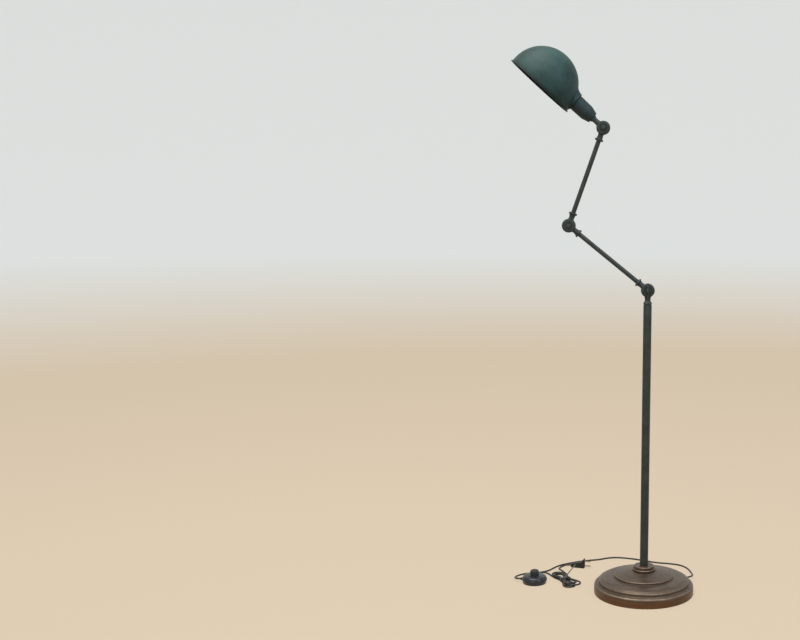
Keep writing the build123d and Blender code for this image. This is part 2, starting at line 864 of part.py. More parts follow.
# Hank: loops that spiral in on the floor, climb a layer along one run and spiral out again
hank_aim = Plane(
    origin=(hank_x, hank_y, hank_lift + cord_radius),
    x_dir=(math.cos(math.radians(hank_turn)), math.sin(math.radians(hank_turn)), 0),
    z_dir=(0, 0, 1),
)


def hank_point(along, across, up):
    return hank_aim.from_local_coords(Vector(along, -across, up))


def half_turn(at, across_from, across_to, up):
    """Half circle at one end of the hank, from one flank to the other."""
    radius = abs(across_to - across_from) / 2
    bulge = math.copysign(radius, at)
    middle = (across_from + across_to) / 2
    return ThreePointArc(
        hank_point(at, across_from, up), hank_point(at + bulge, middle, up), hank_point(at, across_to, up)
    )


def s_run(along_from, along_to, across_from, across_to, up_from, up_to):
    """Two equal arcs that shift a strand sideways, and up where it climbs, both ends along the hank."""
    start = Vector(along_from, across_from, up_from)
    shift = Vector(0, across_to - across_from, up_to - up_from)
    way = Vector(along_to - along_from, 0, 0)
    bend = 2 * math.atan2(shift.length, way.length)
    chord = way + shift
    square = (shift * way.length ** 2 - way * shift.length ** 2).normalized()
    bow = square * chord.length / 4 * math.tan(bend / 4)
    spots = (start, start + chord / 4 - bow, start + chord / 2, start + chord * 3 / 4 + bow, start + chord)
    first, one, middle, two, last = (hank_point(*spot) for spot in spots)
    return ThreePointArc(first, one, middle) + ThreePointArc(middle, two, last)


def drawn_run(at, across, up_from, up_to):
    """One long side of a loop, from the end at to the other end, drawn in at the waist."""
    waist = across - math.copysign(hank_draw, across)
    rise = (up_from + up_to) / 2 if up_from != up_to else up_from
    return s_run(at, 0, across, waist, up_from, rise) + s_run(0, -at, waist, across, rise, up_to)


flank = hank_waist + hank_draw
half_step = hank_pitch / 2
left_runs = [flank, flank - hank_pitch, flank - hank_pitch, flank]
right_runs = [flank - half_step, flank - 3 * half_step, flank - half_step, flank + half_step]
climb = 1
strand = Line(hank_point(-hank_half - hank_tail, flank, 0), hank_point(-hank_half, flank, 0))
level = 0.0
for turn, (left, right) in enumerate(zip(left_runs, right_runs)):
    strand += drawn_run(-hank_half, left, level, level)
    strand += half_turn(hank_half, left, -right, level)
    raised = hank_layer if turn == climb else level
    strand += drawn_run(hank_half, -right, level, raised)
    level = raised
    if turn + 1 < len(left_runs):
        strand += half_turn(-hank_half, -right, left_runs[turn + 1], level)
outlet = -right_runs[-1]
strand += Line(hank_point(-hank_half, outlet, level), hank_point(-hank_half - hank_tail, outlet, level))
hank_path = Wire(strand.edges())
hank_start = hank_point(-hank_half - hank_tail, flank, 0)
hank_end = hank_point(-hank_half - hank_tail, outlet, level)
hank_end_run = hank_point(-hank_half - hank_tail - end_run, outlet, level)
hank_start_run = hank_point(-hank_half - hank_tail - end_run, flank, 0)
nodes["cord_hank"] = swept(hank_path, cord_radius)

# Twist tie round the waist of the hank, with its tail left standing
tie_left = hank_waist + cord_radius + tie_play
tie_right = right_runs[-1] - hank_draw + cord_radius + tie_play
tie_low = -cord_radius - tie_play
tie_high = hank_layer + cord_radius + tie_play
tie_plane = Plane(origin=hank_point(0, 0, 0), x_dir=-hank_aim.y_dir, z_dir=-hank_aim.x_dir)
tie_middle = Pos((tie_left - tie_right) / 2, (tie_low + tie_high) / 2)
loop_width = tie_left + tie_right
loop_height = tie_high - tie_low
band_size = (loop_width + 2 * tie_thick, loop_height + 2 * tie_thick)
band = tie_middle * RectangleRounded(*band_size, tie_round + tie_thick)
band -= tie_middle * RectangleRounded(loop_width, loop_height, tie_round)
tail = Pos(0, tie_high + tie_thick / 2) * Rot(0, 0, -tie_tail_angle) * Pos(-tie_tail / 2, 0)
tie_face = band + tail * Rectangle(tie_tail, tie_thick)
nodes["hank_tie"] = extrude(tie_plane * tie_face, tie_width / 2, both=True)


# Free stretches of the lead on the floor
floor_line = cord_radius + floor_gap
lead_route = [
    gland_end,
    gland_end + exit_way * end_run,
    (139.5, 110.0, 8.5),
    (142.0, 128.0, 4.5),
    (141.0, 148.0, floor_line),
    (136.0, 178.0, floor_line),
    (127.0, 203.0, floor_line),
    (109.0, 223.0, floor_line),
    (80.0, 233.0, floor_line),
    (42.0, 240.0, floor_line),
    (2.0, 263.0, floor_line),
    (-34.0, 277.0, floor_line),
    (-70.0, 285.0, floor_line),
    (-98.0, 277.0, floor_line),
    (-120.0, 262.0, floor_line),
    (-152.0, 254.0, floor_line),
    (-180.0, 242.0, floor_line),
    (-206.0, 227.0, floor_line),
    (-231.0, 209.0, floor_line),
    (-248.0, 186.0, floor_line),
    (-260.0, 162.0, floor_line),
    (-280.0, 146.0, floor_line),
    (-304.5, 138.5, floor_line),
    (-320.0, 134.8, floor_line),
    (-333.0, 128.0, floor_line),
    (-343.0, 118.5, floor_line + 0.3),
    (-349.5, 107.0, floor_line + 1.2),
    (-352.0, 95.0, floor_line + 2.7),
    (-351.3, 84.5, floor_line + 4.4),
    (-348.2, 76.4, floor_line + 5.8),
    boot_axis(boot_angles[0], boot_run),
    boot_axis(boot_angles[0], 0),
]
link_route = [
    boot_axis(boot_angles[1], 0),
    boot_axis(boot_angles[1], end_run),
    (-274.8, 135.1, 6.4),
    hank_start_run,
    hank_start,
]
plug_route = [
    hank_end,
    hank_end_run,
    (-232.0, 161.5, 6.4),
    (-233.5, 177.0, 3.4),
    (-229.5, 192.0, floor_line),
    (-221.5, 201.5, 3.5),
    plug_root - plug_way * end_run,
    plug_root,
]


def cord_tube(name, route):
    """Tube along straight runs joined by arcs as large as the shorter run of each corner allows."""
    points = [Vector(p) for p in route]
    radii = []
    for before, here, after in zip(points, points[1:], points[2:]):
        shorter = min((here - before).length, (after - here).length)
        bend = math.radians((here - before).get_angle(after - here))
        radii.append(arc_share * shorter / math.tan(bend / 2))
    path = FilletPolyline(*points, radius=radii)
    shape = swept(path, cord_radius)
    expected = math.pi * cord_radius ** 2 * path.length
    print(name, "length %.0f mm, volume ratio %.4f" % (path.length, shape.volume / expected))
    print("  radii", " ".join("%.0f" % r for r in radii))
    nodes[name] = shape


cord_tube("cord_lead", lead_route)
cord_tube("cord_link", link_route)
cord_tube("cord_plug_lead", plug_route)


def least_self_gap(path, spacing=1.0):
    """Smallest gap between strands of the hank, measured on points along its middle line."""
    count = int(path.length / spacing)
    points = [path @ (i / count) for i in range(count + 1)]
    skip = int(6 * cord_radius / spacing)
    least = min(
        (points[i] - points[j]).length for i in range(count + 1) for j in range(i + skip, count + 1)
    )
    return least - 2 * cord_radius


print("cord_hank length %.0f mm, least gap to itself %.2f mm" % (hank_path.length, least_self_gap(hank_path)))

os.makedirs("parts", exist_ok=True)
for name, shape in nodes.items():
    export_step(shape, f"parts/{name}.step")
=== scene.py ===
import json
import math

import bpy
from mathutils import Matrix, Vector


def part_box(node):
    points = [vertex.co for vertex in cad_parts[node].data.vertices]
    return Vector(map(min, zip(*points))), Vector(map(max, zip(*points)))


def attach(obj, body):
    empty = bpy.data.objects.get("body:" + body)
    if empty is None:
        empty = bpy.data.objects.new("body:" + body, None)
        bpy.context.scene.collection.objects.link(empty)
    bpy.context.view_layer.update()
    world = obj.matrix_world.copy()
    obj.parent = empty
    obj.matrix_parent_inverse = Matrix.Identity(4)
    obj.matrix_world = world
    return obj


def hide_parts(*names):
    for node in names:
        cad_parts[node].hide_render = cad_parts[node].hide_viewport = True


# Adjustable arm floor lamp: looks around the fixed frame, in metres, +Z up, shade towards -X

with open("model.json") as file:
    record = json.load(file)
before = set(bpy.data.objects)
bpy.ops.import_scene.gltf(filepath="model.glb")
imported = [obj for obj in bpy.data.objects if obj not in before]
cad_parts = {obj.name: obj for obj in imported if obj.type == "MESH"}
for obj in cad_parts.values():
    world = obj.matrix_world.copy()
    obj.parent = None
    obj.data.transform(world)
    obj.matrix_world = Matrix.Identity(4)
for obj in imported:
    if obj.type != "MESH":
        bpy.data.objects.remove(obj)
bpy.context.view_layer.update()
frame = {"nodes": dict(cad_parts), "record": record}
nodes = frame["nodes"]
print("frame loaded:", len(nodes), "nodes")
mm = 0.001


def hexColour(text):
    parts = [int(text[i:i + 2], 16) / 255 for i in (1, 3, 5)]
    return (*[c / 12.92 if c <= 0.04045 else ((c + 0.055) / 1.055) ** 2.4 for c in parts], 1.0)


# A link's source may be a node, which gives its first output; stops are the places and colours of a ramp
def addNode(tree, kind, values=None, links=None, stops=None, **settings):
    node = tree.nodes.new(kind)
    for name, value in settings.items():
        setattr(node, name, value)
    for socket, value in (values or {}).items():
        node.inputs[socket].default_value = hexColour(value) if isinstance(value, str) else value
    for socket, source in (links or {}).items():
        tree.links.new(getattr(source, "outputs", [source])[0], node.inputs[socket])
    if stops:
        while len(node.color_ramp.elements) < len(stops):
            node.color_ramp.elements.new(0.5)
        for element, (position, colour) in zip(node.color_ramp.elements, stops):
            element.position, element.color = position, hexColour(colour)
    return node


def cyclesPerMetre(sizeMm):
    return 1.0 / (sizeMm * mm)


# Every finish starts with a shader, its output and the piece's own coordinates, which ride with its body
def startMaterial(name, **shaderValues):
    material = bpy.data.materials.new(name)
    material.use_nodes = True
    tree = material.node_tree
    tree.nodes.clear()
    shader = addNode(tree, "ShaderNodeBsdfPrincipled", shaderValues)
    addNode(tree, "ShaderNodeOutputMaterial", links={"Surface": shader})
    place = addNode(tree, "ShaderNodeTexCoord").outputs["Object"]
    return material, tree, shader, place


# The last touch of each finish: its skin, a bump whose grain and depth are real sizes
def addSkin(tree, shader, place, grainMm, depthMm, strength=0.3):
    grain = addNode(tree, "ShaderNodeTexNoise", {"Scale": cyclesPerMetre(grainMm), "Detail": 3.0}, {"Vector": place})
    bump = addNode(tree, "ShaderNodeBump", {"Strength": strength, "Distance": depthMm * mm}, {"Height": grain})
    tree.links.new(bump.outputs["Normal"], shader.inputs["Normal"])


# Lighter corners, where hands and cloths rub a finish through, and on the arms' joint rings partly a painted highlight:
# found against a face with its edges rounded off.
# The corner's two numbers are how closely the two faces agree, and the patches' two are where a rub starts and ends
edgeMask = {"samples": 6, "corner": (0.995, 0.9), "patches": (0.3, 0.6)}


def edgeWearAndHighlight(tree, place, edgeMm, patchMm, bite):
    rounded = addNode(tree, "ShaderNodeBevel", {"Radius": edgeMm * mm}, samples=edgeMask["samples"])
    face = addNode(tree, "ShaderNodeNewGeometry").outputs["Normal"]
    match = addNode(tree, "ShaderNodeVectorMath", links={0: rounded, 1: face}, operation="DOT_PRODUCT")
    patches = addNode(tree, "ShaderNodeTexNoise", {"Scale": cyclesPerMetre(patchMm), "Detail": 5.0, "Roughness": 0.6},
                      {"Vector": place})
    flush, sharp = edgeMask["corner"]
    corner = addNode(tree, "ShaderNodeMapRange", {"From Min": flush, "From Max": sharp},
                     {"Value": match.outputs["Value"]})
    whole, bare = edgeMask["patches"]
    broken = addNode(tree, "ShaderNodeMapRange", {"From Min": whole, "From Max": bare, "To Max": bite},
                     {"Value": patches})
    return addNode(tree, "ShaderNodeMath", links={0: corner, 1: broken}, operation="MULTIPLY")


# Stove enamel over spun steel: a satin blue-green film, cloudy where it ran thin, with an orange-peel skin, and
# painted shade: darker in its creases by how shut in they are, and in a band along the lip
shadeFinish = {
    "name": "stoveEnamel", "deep": "#243935", "body": "#2f4845", "cloud": "#3c5854", "edgeTone": "#4a6058",
    "cloudMm": 60.0, "cloudStops": (0.3, 0.5, 0.72), "roughness": (0.46, 0.62), "specular": 0.22,
    "edgeMm": 1.2, "edgePatchMm": 9.0, "edgeBite": 0.1, "peelMm": 1.6, "peelDepthMm": 0.05, "peelStrength": 0.25,
    "paintedShade": "#141d1b", "creaseMm": 10.0, "creaseOpen": (0.95, 0.55), "creaseShare": 0.9,
    "openingDeg": 228.2, "lipMm": 4.2, "lipFadeMm": 1.0, "lipShare": 0.8,
}
socketFinish = {**shadeFinish, "name": "socketEnamel", "deep": "#202d2d", "body": "#2a393a", "cloud": "#344546",
                "lipShare": 0.0}


def stoveEnamel(look):
    material, tree, shader, place = startMaterial(look["name"], **{"IOR": 1.5, "Specular IOR Level": look["specular"]})
    cloud = addNode(tree, "ShaderNodeTexNoise", {"Scale": cyclesPerMetre(look["cloudMm"]), "Detail": 4.0,
                                                 "Roughness": 0.55}, {"Vector": place})
    film = addNode(tree, "ShaderNodeValToRGB", links={"Fac": cloud},
                   stops=list(zip(look["cloudStops"], (look["deep"], look["body"], look["cloud"]))))
    # Painted shade: creases and nooks darken by ambient occlusion
    free = addNode(tree, "ShaderNodeAmbientOcclusion", {"Distance": look["creaseMm"] * mm}, samples=4).outputs["AO"]
    clear, tucked = look["creaseOpen"]
    crease = addNode(tree, "ShaderNodeMapRange", {"From Min": clear, "From Max": tucked, "To Max": look["creaseShare"]},
                     {"Value": free})
    # Painted shade: a dark band along the lip, the last few millimetres before the rim plane
    facing = math.radians(look["openingDeg"])  # the way that the opening faces, from +X towards +Z
    way = Vector((math.cos(facing), 0, math.sin(facing)))
    rim = max(corner.co.dot(way) for corner in nodes["shade"].data.vertices) - look["lipMm"] * mm
    drop = addNode(tree, "ShaderNodeVectorMath", {1: way}, {0: place}, operation="DOT_PRODUCT").outputs["Value"]
    lip = addNode(tree, "ShaderNodeMapRange", {"From Min": rim - look["lipFadeMm"] * mm, "From Max": rim,
                                               "To Max": look["lipShare"]}, {"Value": drop})
    # The painted shade darkens the enamel film wherever either mask is up
    paintedShadeMask = addNode(tree, "ShaderNodeMath", links={0: crease, 1: lip}, operation="MAXIMUM")
    shadedFilm = addNode(tree, "ShaderNodeMix", {7: look["paintedShade"]}, {0: paintedShadeMask, 6: film}, data_type="RGBA")
    edges = edgeWearAndHighlight(tree, place, look["edgeMm"], look["edgePatchMm"], look["edgeBite"])
    tone = addNode(tree, "ShaderNodeMix", {7: look["edgeTone"]}, {0: edges, 6: shadedFilm.outputs[2]}, data_type="RGBA")
    tree.links.new(tone.outputs[2], shader.inputs["Base Color"])
    sleek, dull = look["roughness"]
    rough = addNode(tree, "ShaderNodeMapRange", {"To Min": sleek, "To Max": dull}, {"Value": cloud})
    tree.links.new(rough.outputs["Result"], shader.inputs["Roughness"])
    addSkin(tree, shader, place, look["peelMm"], look["peelDepthMm"], look["peelStrength"])
    return material


# Charcoal paint rubbed cold over steel: olive black, a dry satin face, patchy where the rag went and grey on edges
armFinish = {
    "dark": "#262e2c", "body": "#303a37", "rub": "#3c4541", "edgeTone": "#656d68",
    "rubMm": 26.0, "rubStops": (0.34, 0.52, 0.76), "roughness": (0.36, 0.56), "specular": 0.4,
    "edgeMm": 0.9, "edgePatchMm": 8.0, "edgeBite": 0.5, "grainMm": 2.0, "grainDepthMm": 0.08,
}


def rubbedCharcoal():
    look = armFinish
    material, tree, shader, place = startMaterial("rubbedCharcoalPaint", **{
        "IOR": 1.5, "Specular IOR Level": look["specular"]})
    rubs = addNode(tree, "ShaderNodeTexNoise", {"Scale": cyclesPerMetre(look["rubMm"]), "Detail": 4.0,
                                                "Roughness": 0.5}, {"Vector": place})
    film = addNode(tree, "ShaderNodeValToRGB", links={"Fac": rubs},
                   stops=list(zip(look["rubStops"], (look["dark"], look["body"], look["rub"]))))
    # Lighter edges: on the joints' rings partly a painted highlight, elsewhere rubbed through
    edges = edgeWearAndHighlight(tree, place, look["edgeMm"], look["edgePatchMm"], look["edgeBite"])
    tone = addNode(tree, "ShaderNodeMix", {7: look["edgeTone"]}, {0: edges, 6: film}, data_type="RGBA")
    tree.links.new(tone.outputs[2], shader.inputs["Base Color"])
    sleek, dull = look["roughness"]
    rough = addNode(tree, "ShaderNodeMapRange", {"To Min": sleek, "To Max": dull}, {"Value": rubs})
    tree.links.new(rough.outputs["Result"], shader.inputs["Roughness"])
    addSkin(tree, shader, place, look["grainMm"], look["grainDepthMm"])
    return material


# Antique bronze lacquer on a spun steel base: umber drawn in rings by the spinning, browner in patches towards the
# foot of the rim, and lighter along every turned edge, partly scuffing and partly a painted highlight
baseFinish = {
    "dark": "#43392f", "body": "#5b4d41", "light": "#726252", "footBrown": "#6a421c", "edgeTone": "#978470",
    "ringMm": 5.0, "streaksPerRadian": 2.2, "ringStops": (0.3, 0.52, 0.74), "roughness": (0.26, 0.5), "metallic": 0.45,
    "rubMm": 22.0, "rubRange": (0.28, 0.6), "rimTopMm": 27.0, "rimFootMm": 6.0, "rimShare": (0.15, 1.0),
    "edgeSlope": (0.3, 0.56, 0.78, 0.91), "edgeRange": (0.3, 0.62), "edgeShare": (0.08, 0.6),
    "grainMm": 2.5, "grainDepthMm": 0.08, "grainStrength": 0.25,
}


def antiqueBronze():
    look = baseFinish
    material, tree, shader, place = startMaterial("antiqueBronzeLacquer", **{"Metallic": look["metallic"], "IOR": 1.5})
    # The spun rings are noise drawn out along the turn: fine across, by radius and height, and long by angle
    flat = addNode(tree, "ShaderNodeVectorMath", {1: (1.0, 1.0, 0.0)}, {0: place}, operation="MULTIPLY")
    radius = addNode(tree, "ShaderNodeVectorMath", links={0: flat}, operation="LENGTH").outputs["Value"]
    spot = addNode(tree, "ShaderNodeSeparateXYZ", links={0: place}).outputs
    angle = addNode(tree, "ShaderNodeMath", links={0: spot["Y"], 1: spot["X"]}, operation="ARCTAN2")
    across = addNode(tree, "ShaderNodeMath", {1: cyclesPerMetre(look["ringMm"])}, {0: radius}, operation="MULTIPLY")
    height = addNode(tree, "ShaderNodeMath", {1: cyclesPerMetre(look["ringMm"])}, {0: spot["Z"]}, operation="MULTIPLY")
    along = addNode(tree, "ShaderNodeMath", {1: look["streaksPerRadian"]}, {0: angle}, operation="MULTIPLY")
    spun = addNode(tree, "ShaderNodeCombineXYZ", links={0: across, 1: along, 2: height})
    rings = addNode(tree, "ShaderNodeTexNoise", {"Scale": 1.0, "Detail": 5.0, "Roughness": 0.6}, {"Vector": spun})
    film = addNode(tree, "ShaderNodeValToRGB", links={"Fac": rings},
                   stops=list(zip(look["ringStops"], (look["dark"], look["body"], look["light"]))))
    rubs = addNode(tree, "ShaderNodeTexNoise", {"Scale": cyclesPerMetre(look["rubMm"]), "Detail": 6.0,
                                                "Roughness": 0.6}, {"Vector": place})
    whole, bare = look["rubRange"]
    patches = addNode(tree, "ShaderNodeMapRange", {"From Min": whole, "From Max": bare}, {"Value": rubs})
    # Browner in patches towards the foot of the rim
    above, foot = look["rimShare"]
    rim = addNode(tree, "ShaderNodeMapRange", {"From Min": look["rimTopMm"] * mm, "From Max": look["rimFootMm"] * mm,
                                               "To Min": above, "To Max": foot}, {"Value": spot["Z"]})
    brown = addNode(tree, "ShaderNodeMath", links={0: patches, 1: rim}, operation="MULTIPLY")
    browned = addNode(tree, "ShaderNodeMix", {7: look["footBrown"]}, {0: brown, 6: film}, data_type="RGBA")
    # A turned edge leans between upright and flat, so the lean of the face finds it
    face = addNode(tree, "ShaderNodeNewGeometry").outputs["Normal"]
    slope = addNode(tree, "ShaderNodeSeparateXYZ", links={0: face}).outputs["Z"]
    edges = addNode(tree, "ShaderNodeValToRGB", links={"Fac": slope},
                    stops=list(zip(look["edgeSlope"], ("#000000", "#ffffff", "#ffffff", "#000000"))))
    # Lighter along the turned edges: partly scuffing, partly a painted highlight
    (whole, bare), (least, most) = look["edgeRange"], look["edgeShare"]
    streaks = addNode(tree, "ShaderNodeMapRange", {"From Min": whole, "From Max": bare, "To Min": least,
                                                   "To Max": most}, {"Value": rubs})
    brightEdges = addNode(tree, "ShaderNodeMath", links={0: edges, 1: streaks}, operation="MULTIPLY")
    tone = addNode(tree, "ShaderNodeMix", {7: look["edgeTone"]}, {0: brightEdges, 6: browned.outputs[2]}, data_type="RGBA")
    tree.links.new(tone.outputs[2], shader.inputs["Base Color"])
    sleek, dull = look["roughness"]
    rough = addNode(tree, "ShaderNodeMapRange", {"To Min": sleek, "To Max": dull}, {"Value": rings})
    tree.links.new(rough.outputs["Result"], shader.inputs["Roughness"])
    addSkin(tree, shader, place, look["grainMm"], look["grainDepthMm"], look["grainStrength"])
    return material


# Opal glass: flashed white inside, so light soaks in and the face keeps a thin clear gloss
bulbFinish = {
    "milk": "#e6e3d9", "thin": "#f0ede4", "cloudMm": 18.0, "cloudStops": (0.3, 0.7), "roughness": 0.18,
    "soak": 0.35, "soakMm": 4.0, "waveMm": 3.0, "waveDepthMm": 0.01, "waveStrength": 0.2,
}


def opalGlass():
    look = bulbFinish
    material, tree, shader, place = startMaterial("opalGlass", **{
        "Roughness": look["roughness"], "IOR": 1.5, "Subsurface Weight": look["soak"],
        "Subsurface Scale": look["soakMm"] * mm})
    cloud = addNode(tree, "ShaderNodeTexNoise", {"Scale": cyclesPerMetre(look["cloudMm"])}, {"Vector": place})
    film = addNode(tree, "ShaderNodeValToRGB", links={"Fac": cloud},
                   stops=list(zip(look["cloudStops"], (look["milk"], look["thin"]))))
    tree.links.new(film.outputs["Color"], shader.inputs["Base Color"])
    addSkin(tree, shader, place, look["waveMm"], look["waveDepthMm"], look["waveStrength"])
    return material


# Plain finishes: two tones that drift over a few grains, and a grain (its size and depth in mm) drawn no finer
# than a millimetre so that it shows
grainsPerTone, toneStops = 4, (0.3, 0.7)
plainFinishes = {
    # Moulded ABS: blue black with the moulding's gloss, faintly sparked
    "switch_plastic": {"name": "mouldedAbs", "tones": ("#171a21", "#242a35"), "roughness": 0.25, "grain": (1.2, 0.02)},
    # Ribbed rubber-coated ABS: grey black and dry from thumbs and soles
    "switch_grip": {"name": "rubberCoatedAbs", "tones": ("#26282a", "#3a3c3c"), "roughness": 0.7, "grain": (1.0, 0.1)},
    # Phenolic moulding: brown black, dull sheen
    "black_plastic": {"name": "phenolicMoulding", "tones": ("#0e0d0d", "#191716"), "roughness": 0.4,
                      "grain": (1.5, 0.03)},
    # Moulded PVC: soft black, dry
    "black_rubber": {"name": "mouldedPvc", "tones": ("#121113", "#1e1c1d"), "roughness": 0.46, "grain": (1.0, 0.05)},
    # Extruded PVC sheath: brown black with a slight shine along its length
    "black_cord": {"name": "extrudedPvcSheath", "tones": ("#131110", "#201d1b"), "roughness": 0.38,
                   "grain": (1.0, 0.03)},
    # Diffusing polycarbonate: warm white
    "white_plastic": {"name": "whitePolycarbonate", "tones": ("#cfccc2", "#d9d6cc"), "roughness": 0.4,
                      "grain": (2.0, 0.02)},
    # Sand-cast iron: rough grey skin
    "cast_iron": {"name": "sandCastIron", "tones": ("#232323", "#343331"), "roughness": 0.8, "grain": (2.5, 0.3)},
    # Zinc plate: pale, slightly clouded
    "plain_steel": {"name": "zincPlatedSteel", "tones": ("#8d8c88", "#a5a4a0"), "roughness": 0.4, "grain": (2.0, 0.02),
                    "metallic": 1.0},
    # Oil-blacked steel: dark sockets of the set screws
    "black_steel": {"name": "oilBlackedSteel", "tones": ("#1d1f1f", "#2a2c2b"), "roughness": 0.42,
                    "grain": (1.0, 0.03), "metallic": 0.6},
    # Rolled brass, dulled by handling
    "brass": {"name": "rolledBrass", "tones": ("#9c8459", "#b59c6c"), "roughness": 0.36, "grain": (2.0, 0.02),
              "metallic": 1.0},
    # Nickel plate on the cap
    "nickel": {"name": "nickelPlate", "tones": ("#a9a7a1", "#bcbab4"), "roughness": 0.3, "grain": (3.0, 0.02),
               "metallic": 1.0},
    # Pressed wool felt under the base: dull, hairy black
    "felt_pad": {"name": "woolFelt", "tones": ("#151515", "#272726"), "roughness": 0.95, "grain": (1.0, 0.5)},
    # Vulcanised fibre: red-brown washers in the joints
    "fibre": {"name": "vulcanisedFibre", "tones": ("#3b1f17", "#4d2b20"), "roughness": 0.7, "grain": (1.5, 0.05)},
    # Wire in a PVC ribbon: grey, dusty
    "tie_plastic": {"name": "pvcTwistTie", "tones": ("#5d5c58", "#77756f"), "roughness": 0.5, "grain": (1.0, 0.05)},
}


def grainedFinish(look):
    values = {"Roughness": look["roughness"]}
    values.update({"Metallic": look["metallic"]} if "metallic" in look else {"IOR": 1.49})
    material, tree, shader, place = startMaterial(look["name"], **values)
    grainMm, depthMm = look["grain"]
    drift = addNode(tree, "ShaderNodeTexNoise", {"Scale": cyclesPerMetre(grainMm * grainsPerTone), "Detail": 5.0},
                    {"Vector": place})
    film = addNode(tree, "ShaderNodeValToRGB", links={"Fac": drift}, stops=list(zip(toneStops, look["tones"])))
    tree.links.new(film.outputs["Color"], shader.inputs["Base Color"])
    addSkin(tree, shader, place, grainMm, depthMm)
    return material


finishes = {slot: grainedFinish(look) for slot, look in plainFinishes.items()}
finishes.update(shade_enamel=stoveEnamel(shadeFinish), socket_enamel=stoveEnamel(socketFinish),
                charcoal_paint=rubbedCharcoal(), bronze_paint=antiqueBronze(), milky_glass=opalGlass())
ownFinish = {"socket_cup": "socket_enamel", "shade_screws": "black_steel", "switch_button": "switch_grip"}
slots = {row["node"]: row["material_slot"] for row in frame["record"]["subparts"]}
for nodeName, node in nodes.items():
    node.data.materials.clear()
    node.data.materials.append(finishes[ownFinish.get(nodeName, slots[nodeName])])
print("finishes on", len(nodes), "nodes")


# Mains lead: black flex, from the base to the foot switch and on through the hank to the plug
lead = {"diameter": 4.6 * mm, "leadLength": 0.727, "tailLength": 1.161, "roundness": 5, "smoothness": 6}
leadRoute = [
    (122.2, 88.8, 10.5), (132.7, 96.4, 10.5), (139.5, 110.0, 8.5), (142.0, 128.0, 4.5), (141.0, 148.0, 2.4),
    (136.0, 178.0, 2.4), (127.0, 203.0, 2.4), (109.0, 223.0, 2.4), (80.0, 233.0, 2.4), (42.0, 240.0, 2.4),
    (2.0, 263.0, 2.4), (-34.0, 277.0, 2.4), (-70.0, 285.0, 2.4), (-98.0, 277.0, 2.4), (-120.0, 262.0, 2.4),
    (-152.0, 254.0, 2.4), (-180.0, 242.0, 2.4), (-206.0, 227.0, 2.4), (-231.0, 209.0, 2.4), (-248.0, 186.0, 2.4),
    (-260.0, 162.0, 2.4), (-280.0, 146.0, 2.4), (-304.5, 138.5, 2.4), (-320.0, 134.8, 2.4), (-333.0, 128.0, 2.4),
    (-343.0, 118.5, 2.7), (-349.5, 107.0, 3.6), (-352.0, 95.0, 5.1), (-351.3, 84.5, 6.8), (-348.2, 76.4, 8.2),
    (-342.3, 72.0, 9.0), (-335.9, 71.4, 9.0),
]
linkRoute = [(-290.2, 106.4, 9.0), (-288.0, 119.2, 9.0), (-274.8, 135.1, 6.4), (-261.4, 130.8, 3.8)]
plugRoute = [
    (-227.0, 148.0, 8.9), (-232.0, 161.5, 6.4), (-233.5, 177.0, 3.4), (-229.5, 192.0, 2.4), (-221.5, 201.5, 3.5),
    (-212.7, 205.9, 5.2), (-200.0, 203.0, 5.2),
]
# Four loops in two layers, tied at the waist; past the tie the lower pair swings out and the upper pair back
hank = {
    "centre": (-214.0, 76.0, 3.8), "turnDeg": -63.4, "half": 40.0, "flank": 17.8, "draw": 8.0, "pitch": 5.6,
    "layer": 5.1, "tail": 17.2, "endSteps": 5, "runStops": (-0.8, -0.45, -0.15, 0.15, 0.45, 0.8),
    "fanDeg": (7.5, 6.0, -7.0, -8.5), "reach": (1.0, 0.82, 0.78, 1.02),
}


def hankRoute():
    turn = math.radians(hank["turnDeg"])
    along = Vector((math.cos(turn), math.sin(turn), 0))
    across = Vector((math.sin(turn), -math.cos(turn), 0))
    half, flank, step = hank["half"], hank["flank"], hank["pitch"] / 2
    leftRuns = [flank, flank - 2 * step, flank - 2 * step, flank]
    rightRuns = [flank - step, flank - 3 * step, flank - step, flank + step]
    spots = [(-half - hank["tail"], flank, 0.0)]
    level = 0.0

    def addSpot(a, b, height, loop):
        free = max(0.0, a) / (half + flank)
        fan = math.radians(hank["fanDeg"][loop]) * free
        a *= 1 + (hank["reach"][loop] - 1) * free
        spots.append((a * math.cos(fan) - b * math.sin(fan), a * math.sin(fan) + b * math.cos(fan), height))

    def addRun(way, offset, levelFrom, levelTo, loop):
        for stop in hank["runStops"]:
            ease = (1 + math.cos(math.pi * stop)) / 2
            drawn = offset - math.copysign(hank["draw"] * ease, offset)
            addSpot(way * stop * half, drawn, levelFrom + (levelTo - levelFrom) * (stop + 1) / 2, loop)

    def addBend(side, offsetFrom, offsetTo, height, loop):
        middle = (offsetFrom + offsetTo) / 2
        stepAngle = math.pi / hank["endSteps"]
        grown = (offsetFrom - offsetTo) / 2 / math.cos(stepAngle / 2)
        for i in range(hank["endSteps"]):
            angle = (i + 0.5) * stepAngle
            reach = half + abs(grown) * math.sin(angle)
            addSpot(side * reach, middle + grown * math.cos(angle), height, loop)

    for loop, (left, right) in enumerate(zip(leftRuns, rightRuns)):
        addRun(1, left, level, level, loop)
        addBend(1, left, -right, level, loop)
        raised = hank["layer"] if loop == 1 else level
        addRun(-1, -right, level, raised, loop)
        level = raised
        if loop + 1 < len(leftRuns):
            addBend(-1, -right, leftRuns[loop + 1], level, loop)
    spots.append((-half - hank["tail"], -rightRuns[-1], level))
    centre = Vector(hank["centre"])
    return [tuple(centre + along * a + across * b + Vector((0, 0, c))) for a, b, c in spots]


